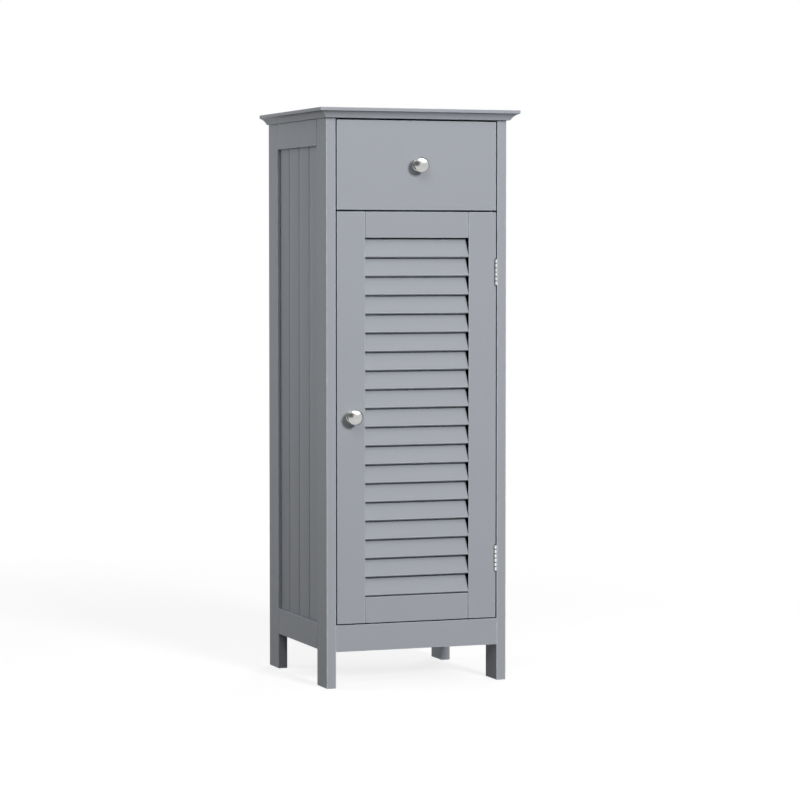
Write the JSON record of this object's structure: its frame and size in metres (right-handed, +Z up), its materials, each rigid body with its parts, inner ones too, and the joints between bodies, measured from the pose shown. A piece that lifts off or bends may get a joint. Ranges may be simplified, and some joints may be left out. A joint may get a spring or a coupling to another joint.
{
  "type": "bathroom cabinet",
  "caption": "Narrow free-standing painted cabinet with a drawer over a louvred door, panelled sides, straight legs and a coved top board.",
  "frame": {"origin": "on the floor, in the middle of the overall footprint", "axes": "+Z up; the drawer and the door face -Y; +X to the right of someone facing them"},
  "size_m": [0.32, 0.307, 0.87],
  "materials": {
    "painted_wood": "satin grey paint on board",
    "painted_hardboard": "grey paint on thin hardboard",
    "drawer_board": "satin grey paint on board",
    "nickel": "satin nickel plate",
    "zinc_steel": "bright zinc plate",
    "white_plastic": "white, lightly textured",
    "beech": "bare fluted beech",
    "magnet": "dark sintered ferrite"
  },
  "bodies": {
    "root": {"top_board": "painted_wood", "left_front_leg": "painted_wood", "left_back_leg": "painted_wood", "right_front_leg": "painted_wood", "right_back_leg": "painted_wood", "left_top_rail": "painted_wood", "left_bottom_rail": "painted_wood", "right_top_rail": "painted_wood", "right_bottom_rail": "painted_wood", "left_side_panel": "painted_wood", "right_side_panel": "painted_wood", "front_apron": "painted_wood", "bottom_board": "painted_wood", "divider_board": "painted_wood", "shelf": "painted_wood", "back_panel": "painted_hardboard", "hinge_frame_leaves": "nickel", "shelf_pins": "zinc_steel", "cam_locks": "zinc_steel", "cam_bolts": "zinc_steel", "carcass_screws": "zinc_steel", "hinge_pins": "zinc_steel", "drawer_runners": "white_plastic", "catch_housing": "white_plastic", "frame_dowels": "beech", "catch_magnet": "magnet"},
    "drawer": {"drawer_front": "painted_wood", "drawer_left_side": "drawer_board", "drawer_right_side": "drawer_board", "drawer_back": "drawer_board", "drawer_bottom": "painted_hardboard", "drawer_knob": "nickel", "drawer_fasteners": "zinc_steel"},
    "door": {"door_left_stile": "painted_wood", "door_right_stile": "painted_wood", "door_top_rail": "painted_wood", "door_bottom_rail": "painted_wood", "door_knob": "nickel", "hinge_door_leaves": "nickel", "strike_plate": "nickel", "door_screws": "zinc_steel", "slat_01": "painted_wood", "slat_02": "painted_wood", "slat_03": "painted_wood", "slat_04": "painted_wood", "slat_05": "painted_wood", "slat_06": "painted_wood", "slat_07": "painted_wood", "slat_08": "painted_wood", "slat_09": "painted_wood", "slat_10": "painted_wood", "slat_11": "painted_wood", "slat_12": "painted_wood", "slat_13": "painted_wood", "slat_14": "painted_wood", "slat_15": "painted_wood", "slat_16": "painted_wood", "slat_17": "painted_wood", "slat_18": "painted_wood", "slat_19": "painted_wood"}
  },
  "joints": [
    {"name": "drawer_slide", "type": "slide", "parent": "root", "child": "drawer", "axis": [0, -1, 0], "range_m": [0, 0.18]},
    {"name": "door_hinge", "type": "hinge", "parent": "root", "child": "door", "pos_m": [0.1279, -0.1265, 0.4], "axis": [0, 0, 1], "range_deg": [0, 170]}
  ]
}
